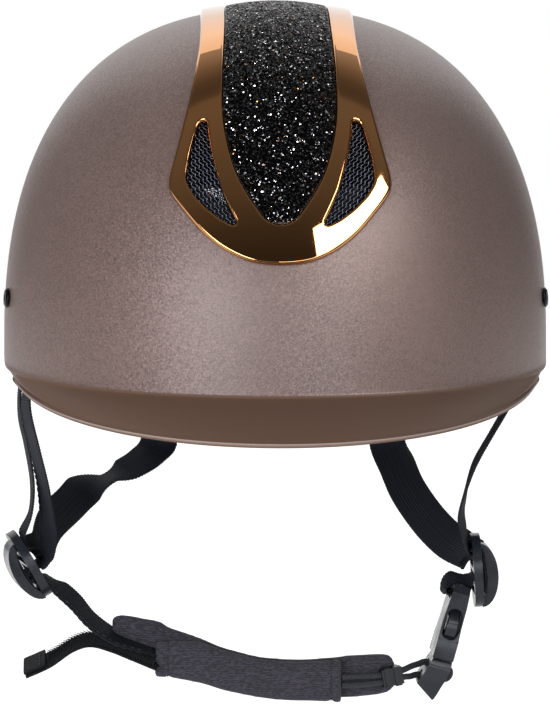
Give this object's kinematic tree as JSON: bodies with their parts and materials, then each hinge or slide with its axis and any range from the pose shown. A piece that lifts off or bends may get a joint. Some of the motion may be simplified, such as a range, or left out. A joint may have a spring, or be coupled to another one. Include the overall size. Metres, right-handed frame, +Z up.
{
  "type": "riding helmet",
  "caption": "Riding helmet with a moulded peak, polished vent frame over a glitter inlay, woven wire vents, four-point harness with side-release buckle, chin pad and dial fit.",
  "frame": {"origin": "centre of the head opening, on the rim plane of the liner, where the head mount is", "axes": "+Z up through the crown, -Y forward along the peak, +X towards the wearer's left"},
  "size_m": [0.2208, 0.2996, 0.2852],
  "materials": {
    "shell_paint": "matt metallic mocha paint over a moulded plastic shell",
    "frame_plating": "polished rose-gold plating",
    "inlay_glitter": "black glitter under clear lacquer",
    "wire_mesh": "black-coated woven wire",
    "foam": "black expanded foam",
    "lining": "black knitted lining over soft foam",
    "webbing": "black ribbed polyester webbing",
    "pad_knit": "charcoal knitted pad cover",
    "cord": "charcoal braided elastic cord",
    "gloss_black": "satin-gloss black moulding",
    "matt_black": "matt black moulding",
    "acetal": "natural white acetal",
    "black_screw": "black-coated steel",
    "steel": "plain zinc-coated steel"
  },
  "bodies": {
    "helmet": {"outer_shell": "shell_paint", "vent_frame": "frame_plating", "crown_inlay": "inlay_glitter", "front_mesh_left": "wire_mesh", "front_mesh_right": "wire_mesh", "rear_mesh_left": "wire_mesh", "rear_mesh_right": "wire_mesh", "impact_liner": "foam", "liner_cover": "lining", "crown_pad": "lining", "brow_pad": "lining", "side_screw_left": "black_screw", "side_screw_right": "black_screw", "strap_anchor_left": "steel", "strap_anchor_right": "steel", "rear_anchor_left": "matt_black", "rear_anchor_right": "matt_black", "front_strap_left": "webbing", "front_strap_right": "webbing", "return_strap_right": "webbing", "rear_strap_left": "webbing", "rear_strap_right": "webbing", "divider_left": "gloss_black", "divider_right": "gloss_black", "chin_strap": "webbing", "hook_tail": "webbing", "chin_pad": "pad_knit", "pad_sleeve": "pad_knit", "elastic_cord": "cord", "cord_crimp": "gloss_black", "buckle_strap": "webbing", "buckle_socket": "gloss_black", "fit_band_left": "matt_black", "fit_band_right": "matt_black", "cradle_hanger": "webbing"},
    "plug": {"buckle_plug": "gloss_black", "prong_front": "gloss_black", "prong_back": "gloss_black"},
    "cradle": {"cradle_housing": "matt_black", "cradle_cover": "matt_black", "nape_pad": "lining"},
    "dial": {"dial_knob": "matt_black", "pinion": "acetal", "dial_screw": "steel"},
    "left_rack": {"rack_left": "matt_black"},
    "right_rack": {"rack_right": "matt_black"}
  },
  "joints": [
    {"name": "buckle_release", "type": "slide", "parent": "helmet", "child": "plug", "axis": [-0.2706, 0, -0.9627], "range_m": [0, 0.026], "deforming": ["prong_front", "prong_back", "elastic_cord"]},
    {"name": "dial_turn", "type": "hinge", "parent": "cradle", "child": "dial", "pos_m": [0, 0.105, -0.0135], "axis": [0, -1, 0], "range_deg": [0, 138]},
    {"name": "cradle_slide", "type": "slide", "parent": "helmet", "child": "cradle", "axis": [0, -1, 0], "range_m": [0, 0.012], "deforming": ["fit_band_left", "fit_band_right", "cradle_hanger"]},
    {"name": "rack_left_slide", "type": "slide", "parent": "cradle", "child": "left_rack", "axis": [-1, 0, 0], "range_m": [0, 0.0122]},
    {"name": "rack_right_slide", "type": "slide", "parent": "cradle", "child": "right_rack", "axis": [1, 0, 0], "range_m": [0, 0.0122]}
  ],
  "couplings": [
    {"joint": "dial_turn", "follows": "cradle_slide", "rad_per_m": 200},
    {"joint": "rack_left_slide", "follows": "cradle_slide", "ratio": 1},
    {"joint": "rack_right_slide", "follows": "cradle_slide", "ratio": 1}
  ]
}
